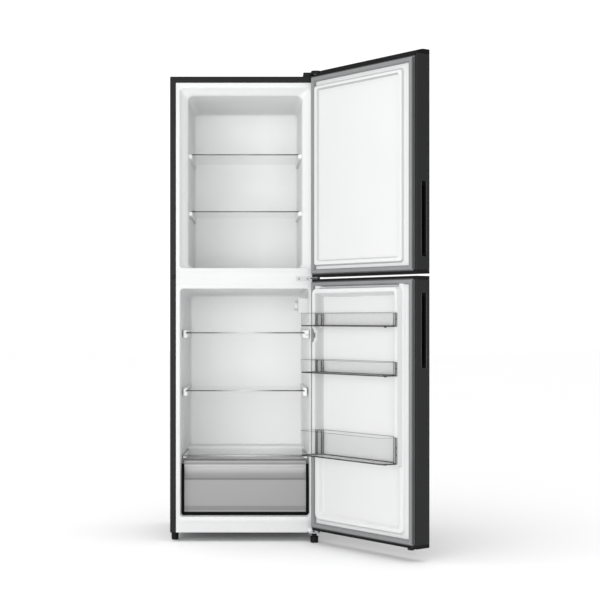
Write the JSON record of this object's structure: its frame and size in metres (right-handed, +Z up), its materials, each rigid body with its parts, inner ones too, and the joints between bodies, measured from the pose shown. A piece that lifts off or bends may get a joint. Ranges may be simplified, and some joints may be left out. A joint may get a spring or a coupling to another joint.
{
  "type": "top freezer refrigerator",
  "caption": "Upright fridge with a small freezer on top, both doors open on right-hand hinges, with glass shelves, a covered crisper drawer, door bins and a rear condenser.",
  "frame": {"origin": "on the floor, in the middle of the whole object's footprint with both doors open", "axes": "+Z up, +Y from the door side to the back, +X towards the hinge side"},
  "size_m": [0.894, 0.9776, 1.7075],
  "materials": {
    "paint": "satin dark grey enamel",
    "plated": "zinc plated",
    "black_steel": "black enamel",
    "white": "white vacuum-formed sheet",
    "white_moulded": "white moulded",
    "black": "black moulded",
    "foam": "rigid insulating foam",
    "seal": "grey soft seal",
    "black_rubber": "black rubber",
    "glass": "clear float glass, ground edge",
    "clear": "clear grey moulded",
    "smoke": "smoke grey moulded",
    "aluminium": "rolled"
  },
  "bodies": {
    "cabinet": {"outer_case": "paint", "back_panel": "plated", "cabinet_foam": "foam", "freezer_liner": "white", "fridge_liner": "white", "beam_cover": "white", "kick_rail": "white_moulded", "base_frame": "plated", "compressor": "black_steel", "compressor_mount_left_front": "black_rubber", "compressor_mount_left_rear": "black_rubber", "compressor_mount_right_front": "black_rubber", "compressor_mount_right_rear": "black_rubber", "condenser": "black_steel", "evaporator": "aluminium", "top_hinge_bracket": "plated", "top_hinge_pin": "plated", "top_hinge_cover": "black", "middle_hinge_bracket": "plated", "middle_hinge_pin": "plated", "middle_hinge_screw_left": "plated", "middle_hinge_screw_right": "plated", "lower_hinge_bracket": "plated", "lower_hinge_pin": "plated", "hinge_hole_plug": "black", "thermostat_housing": "white_moulded", "lamp": "glass"},
    "freezer_door": {"freezer_door_skin": "paint", "freezer_door_foam": "foam", "freezer_door_liner": "white", "freezer_door_gasket": "seal", "freezer_door_top_cap": "black", "freezer_door_bottom_cap": "black", "freezer_door_grip": "black", "freezer_door_bush": "white_moulded"},
    "fridge_door": {"fridge_door_skin": "paint", "fridge_door_foam": "foam", "fridge_door_liner": "white", "fridge_door_gasket": "seal", "fridge_door_top_cap": "black", "fridge_door_bottom_cap": "black", "fridge_door_grip": "black", "fridge_door_bush": "white_moulded", "door_stop": "black_rubber"},
    "crisper_drawer": {"crisper_drawer": "smoke", "crisper_drawer_trim": "black"},
    "freezer_shelf_lower": {"freezer_shelf_lower": "glass"},
    "freezer_shelf_upper": {"freezer_shelf_upper": "glass"},
    "fridge_shelf_lower": {"fridge_shelf_lower": "glass"},
    "fridge_shelf_upper": {"fridge_shelf_upper": "glass"},
    "crisper_cover": {"crisper_cover": "glass"},
    "thermostat_knob": {"thermostat_knob": "white_moulded"},
    "light_switch": {"light_switch": "white_moulded"},
    "levelling_foot_left": {"levelling_foot_left": "black"},
    "levelling_foot_right": {"levelling_foot_right": "black"},
    "rear_roller_left": {"rear_roller_left": "black"},
    "rear_roller_right": {"rear_roller_right": "black"},
    "door_bin_upper": {"door_bin_upper": "clear"},
    "door_bin_middle": {"door_bin_middle": "clear"},
    "door_bin_lower": {"door_bin_lower": "clear"}
  },
  "joints": [
    {"name": "freezer_door_swing", "type": "hinge", "parent": "cabinet", "child": "freezer_door", "pos_m": [0.08398, -0.05969, 1.32], "axis": [0, 0, 1], "range_deg": [-127.4, 2]},
    {"name": "fridge_door_swing", "type": "hinge", "parent": "cabinet", "child": "fridge_door", "pos_m": [0.08398, -0.05969, 0.5], "axis": [0, 0, 1], "range_deg": [-127.4, 2]},
    {"name": "freezer_shelf_lower_slide", "type": "slide", "parent": "cabinet", "child": "freezer_shelf_lower", "axis": [0, -1, 0], "range_m": [0, 0.3]},
    {"name": "freezer_shelf_upper_slide", "type": "slide", "parent": "cabinet", "child": "freezer_shelf_upper", "axis": [0, -1, 0], "range_m": [0, 0.3]},
    {"name": "fridge_shelf_lower_slide", "type": "slide", "parent": "cabinet", "child": "fridge_shelf_lower", "axis": [0, -1, 0], "range_m": [0, 0.3]},
    {"name": "fridge_shelf_upper_slide", "type": "slide", "parent": "cabinet", "child": "fridge_shelf_upper", "axis": [0, -1, 0], "range_m": [0, 0.3]},
    {"name": "crisper_cover_slide", "type": "slide", "parent": "cabinet", "child": "crisper_cover", "axis": [0, -1, 0], "range_m": [0, 0.25]},
    {"name": "crisper_drawer_slide", "type": "slide", "parent": "cabinet", "child": "crisper_drawer", "axis": [0, -1, 0], "range_m": [0, 0.24]},
    {"name": "door_bin_lower_lift", "type": "slide", "parent": "fridge_door", "child": "door_bin_lower", "axis": [0, 0, 1], "range_m": [0, 0.03]},
    {"name": "door_bin_middle_lift", "type": "slide", "parent": "fridge_door", "child": "door_bin_middle", "axis": [0, 0, 1], "range_m": [0, 0.03]},
    {"name": "door_bin_upper_lift", "type": "slide", "parent": "fridge_door", "child": "door_bin_upper", "axis": [0, 0, 1], "range_m": [0, 0.03]},
    {"name": "thermostat_turn", "type": "hinge", "parent": "cabinet", "child": "thermostat_knob", "pos_m": [0.01548, 0.10281, 0.858], "axis": [1, 0, 0], "range_deg": [-150, 150]},
    {"name": "light_switch_press", "type": "slide", "parent": "cabinet", "child": "light_switch", "axis": [0, 1, 0], "range_m": [0, 0.004], "stiffness_N_per_m": 150, "springref_m": -0.002},
    {"name": "levelling_foot_left_turn", "type": "hinge", "parent": "cabinet", "child": "levelling_foot_left", "pos_m": [-0.43182, 0.02081, 0.02], "axis": [0, 0, 1], "continuous": true},
    {"name": "levelling_foot_right_turn", "type": "hinge", "parent": "cabinet", "child": "levelling_foot_right", "pos_m": [0.07648, -0.05019, 0.015], "axis": [0, 0, 1], "continuous": true},
    {"name": "rear_roller_left_spin", "type": "hinge", "parent": "cabinet", "child": "rear_roller_left", "pos_m": [-0.42692, 0.44681, 0.018], "axis": [1, 0, 0], "continuous": true},
    {"name": "rear_roller_right_spin", "type": "hinge", "parent": "cabinet", "child": "rear_roller_right", "pos_m": [0.07788, 0.44681, 0.018], "axis": [1, 0, 0], "continuous": true}
  ]
}
